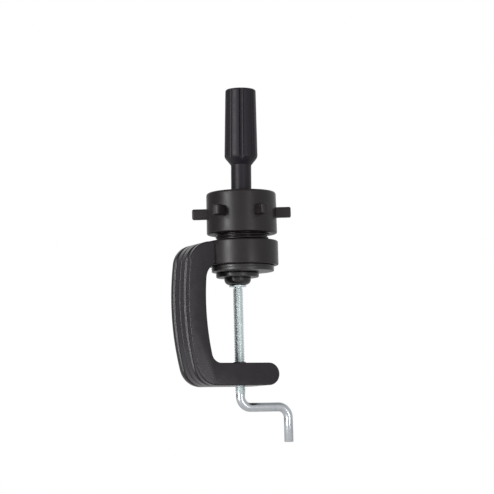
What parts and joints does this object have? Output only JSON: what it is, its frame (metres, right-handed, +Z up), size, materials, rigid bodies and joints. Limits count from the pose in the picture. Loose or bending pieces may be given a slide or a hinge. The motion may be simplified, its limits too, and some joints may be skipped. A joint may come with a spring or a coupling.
{
  "type": "table clamp for a training head",
  "caption": "Table clamp with a C-shaped frame, crank screw and swivel pad below a locking ball joint that carries a fluted post for a training head.",
  "frame": {"origin": "on the clamp screw's axis in the plane of the jaw face, where a table edge is gripped", "axes": "+X from the frame's spine towards the open side of the throat, +Z up along the clamp screw towards the post, +Y away from the side on which the socket stands forward"},
  "size_m": [0.0951, 0.0776, 0.2783],
  "materials": {
    "frame_plastic": "satin moulded black with a fine grain",
    "housing_plastic": "smooth moulded black, half gloss",
    "post_plastic": "glossy black",
    "pad_plastic": "smooth moulded black",
    "inner_plastic": "natural acetal, plain",
    "zinc": "bright zinc plate, slightly greenish",
    "steel": "plain plated steel"
  },
  "bodies": {
    "frame": {"c_frame": "frame_plastic", "socket_housing": "housing_plastic", "housing_screw_front": "steel", "housing_screw_rear": "steel", "jaw_disc": "housing_plastic", "jaw_disc_screw": "steel", "seat_washer": "steel", "clamp_nut": "steel", "nut_cap": "frame_plastic"},
    "pad": {"pad_disc": "pad_plastic", "pad_cup": "pad_plastic", "pad_washer": "zinc"},
    "screw": {"clamp_screw": "zinc"},
    "ring": {"pressure_ring": "inner_plastic"},
    "collar": {"collar_nut": "housing_plastic"},
    "seat": {"seat_cup": "inner_plastic"},
    "post_assembly": {"ball": "post_plastic", "post": "post_plastic", "post_bolt": "steel", "post_bolt_washer": "steel"}
  },
  "joints": [
    {"name": "pad_travel", "type": "slide", "parent": "frame", "child": "pad", "axis": [0, 0, 1], "range_m": [-0.05625, 0]},
    {"name": "screw_turn", "type": "hinge", "parent": "pad", "child": "screw", "pos_m": [0, 0, -0.05], "axis": [0, 0, 1], "range_deg": [-16200, 0]},
    {"name": "collar_travel", "type": "slide", "parent": "frame", "child": "ring", "axis": [0, 0, 1], "range_m": [0, 0.0025]},
    {"name": "collar_turn", "type": "hinge", "parent": "ring", "child": "collar", "pos_m": [0, -0.01, 0.045], "axis": [0, 0, 1], "range_deg": [0, 360]},
    {"name": "post_swivel", "type": "hinge", "parent": "frame", "child": "seat", "pos_m": [0, -0.01, 0.045], "axis": [0, 0, 1], "continuous": true},
    {"name": "post_tilt", "type": "hinge", "parent": "seat", "child": "post_assembly", "pos_m": [0, -0.01, 0.045], "axis": [0, 1, 0], "range_deg": [-24, 24]}
  ],
  "couplings": [
    {"joint": "pad_travel", "follows": "screw_turn", "m_per_rad": 0.00019894},
    {"joint": "collar_travel", "follows": "collar_turn", "m_per_rad": 0.00039789}
  ]
}
